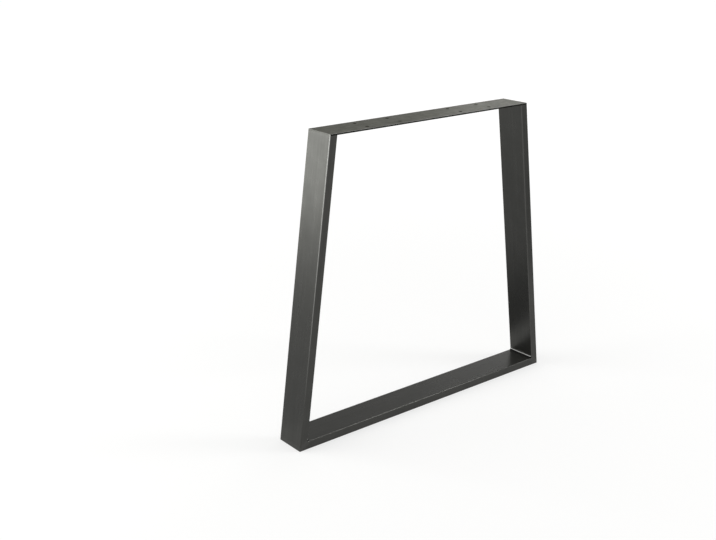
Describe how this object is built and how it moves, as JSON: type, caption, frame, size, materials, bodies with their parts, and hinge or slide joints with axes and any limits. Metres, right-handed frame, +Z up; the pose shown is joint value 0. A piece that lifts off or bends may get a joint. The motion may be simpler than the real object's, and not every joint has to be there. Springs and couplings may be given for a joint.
{
  "type": "trapezoid table leg",
  "caption": "Welded trapezoid leg frame for a table: flat rectangular steel tube, mitred at the foot, closed by a drilled top plate that screws under the table top.",
  "frame": {"origin": "on the floor, under the middle of the foot rail", "axes": "+X along the leg, from the left post to the right one; +Y through its depth; +Z up"},
  "size_m": [0.7948, 0.08, 0.72],
  "materials": {
    "tube_steel": "dark satin drawn steel under a clear coat",
    "plate_steel": "dark satin rolled steel under a clear coat",
    "weld_steel": "rippled weld bead, brushed bright, under the same clear coat"
  },
  "bodies": {
    "root": {"foot_rail": "tube_steel", "left_post": "tube_steel", "right_post": "tube_steel", "top_plate": "plate_steel", "weld_foot_left": "weld_steel", "weld_foot_right": "weld_steel", "weld_plate_left": "weld_steel", "weld_plate_right": "weld_steel"}
  },
  "joints": []
}
